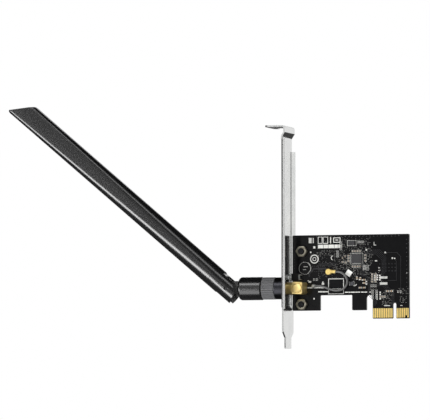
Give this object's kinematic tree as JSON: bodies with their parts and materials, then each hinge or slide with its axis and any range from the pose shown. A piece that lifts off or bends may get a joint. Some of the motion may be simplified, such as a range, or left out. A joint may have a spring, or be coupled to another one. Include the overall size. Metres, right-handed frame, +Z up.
{
  "type": "pcie wifi card",
  "caption": "Wireless network expansion card: small black board with a keyed edge connector on a full-height slot bracket, with a folding rod antenna on a screw-on radio jack.",
  "frame": {"origin": "on the underside of the bracket's tab, which rests on the computer's slot rail, above the bracket's outer face and level with the board's component face", "axes": "+X from the bracket's outer face towards the board's free end, +Z up through the tab, -Y out of the board's component side"},
  "size_m": [0.2274, 0.0196, 0.1339],
  "materials": {
    "plated_steel": "bright zinc plated sheet steel",
    "screw_steel": "nickel plated steel",
    "solder_mask": "glossy black solder mask on glass-fibre board",
    "contact_gold": "hard gold plating",
    "jack_gold": "gold plated turned brass",
    "insulator_white": "white fluoropolymer",
    "black_plated_brass": "satin black plating",
    "spring_bronze": "spring bronze",
    "antenna_black": "satin black moulded plastic",
    "holder_black": "matt black moulded nylon",
    "lamp_clear": "clear epoxy",
    "tin": "tinned",
    "chip_black": "moulded epoxy",
    "crystal_can": "plated lid",
    "ferrite": "fired ferrite",
    "ceramic_tan": "fired ceramic",
    "resistor_black": "glazed ceramic",
    "label_white": "printed paper label, blank",
    "coax_grey": "dark grey jacket",
    "coax_black": "black jacket",
    "strip_green": "bare glass-fibre strip"
  },
  "bodies": {
    "card": {"bracket": "plated_steel", "circuit_board": "solder_mask", "front_contacts": "contact_gold", "back_contacts": "contact_gold", "board_screws": "screw_steel", "board_nuts": "screw_steel", "lamp_holder": "holder_black", "lamp_lens": "lamp_clear", "lamp_leads": "tin", "jack_body": "jack_gold", "jack_insulator": "insulator_white", "jack_contact": "contact_gold", "jack_cap": "jack_gold", "solder_joints": "tin", "radio_chip": "chip_black", "radio_chip_leads": "tin", "memory_chip": "chip_black", "memory_chip_leads": "tin", "crystal": "crystal_can", "power_inductor": "ferrite", "inductor_ends": "tin", "capacitors": "ceramic_tan", "resistors": "resistor_black", "passive_ends": "tin", "tinned_pads": "tin", "inspection_sticker": "label_white", "coax_receptacle": "contact_gold", "coax_plug": "contact_gold", "coax_anchor": "tin", "pigtail_coax": "coax_grey"},
    "antenna_ring": {"retaining_ring": "spring_bronze"},
    "antenna_nut": {"coupling_nut": "black_plated_brass", "knurled_grip": "antenna_black"},
    "antenna_base": {"plug_body": "jack_gold", "plug_insulator": "insulator_white", "plug_contact": "contact_gold", "base_sleeve": "antenna_black", "base_cable": "coax_black"},
    "antenna_arm": {"arm_fork": "antenna_black", "hinge_pin": "screw_steel", "arm_sleeve": "antenna_black", "radiator_strip": "strip_green", "arm_cable": "coax_black"}
  },
  "joints": [
    {"name": "antenna_travel", "type": "slide", "parent": "card", "child": "antenna_ring", "axis": [-1, 0, 0], "range_m": [0, 0.0073]},
    {"name": "nut_turn", "type": "hinge", "parent": "antenna_ring", "child": "antenna_nut", "pos_m": [-0.0063, -0.006, -0.0867], "axis": [-1, 0, 0], "range_deg": [0, 3725]},
    {"name": "base_swivel", "type": "hinge", "parent": "antenna_ring", "child": "antenna_base", "pos_m": [-0.0126, -0.006, -0.0867], "axis": [-1, 0, 0], "continuous": true},
    {"name": "arm_tilt", "type": "hinge", "parent": "antenna_base", "child": "antenna_arm", "pos_m": [-0.0321, -0.006, -0.0867], "axis": [0, 1, 0], "range_deg": [-40, 50]}
  ],
  "couplings": [
    {"joint": "nut_turn", "follows": "antenna_travel", "rad_per_m": 8904.6}
  ]
}
